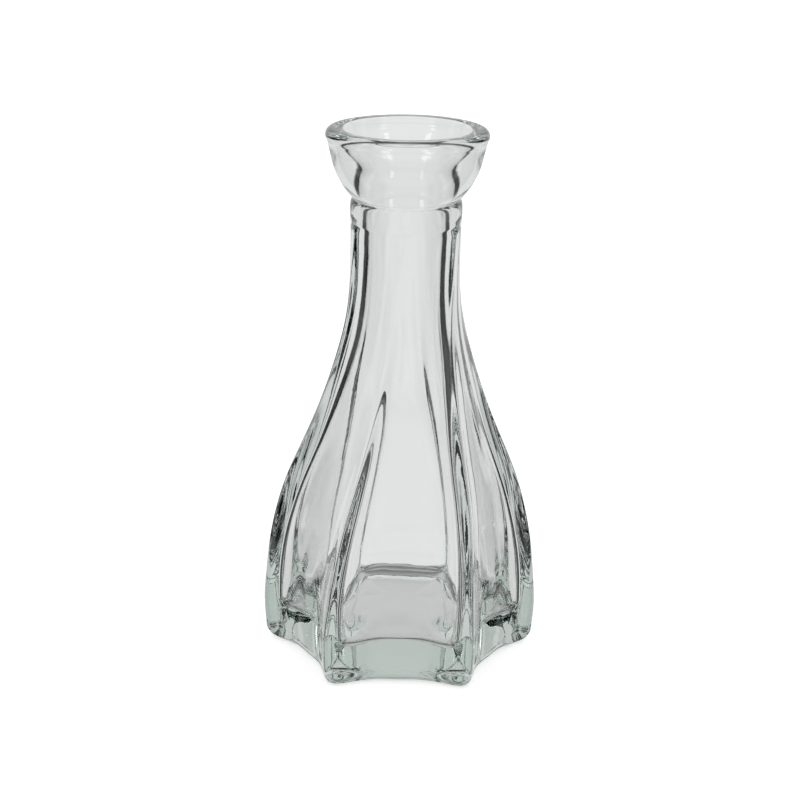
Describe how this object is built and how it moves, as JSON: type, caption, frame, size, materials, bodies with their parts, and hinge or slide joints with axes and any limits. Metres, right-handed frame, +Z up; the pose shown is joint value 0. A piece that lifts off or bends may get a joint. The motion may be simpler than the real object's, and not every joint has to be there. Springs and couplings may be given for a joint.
{
  "type": "bud vase",
  "caption": "Clear glass bud vase with a swirled ribbed body, star-shaped foot and bowl-shaped mouth, for short single stems.",
  "frame": {"origin": "centre of the foot, on the table", "axes": "+Z up along the vase's axis, +X through one rib of the foot, -Y through the middle of one panel"},
  "size_m": [0.0782, 0.068, 0.15],
  "materials": {
    "glass": "clear moulded glass with a faint green tint, fire-polished and glossy inside and out"
  },
  "bodies": {
    "root": {"vase_glass": "glass"}
  },
  "joints": []
}
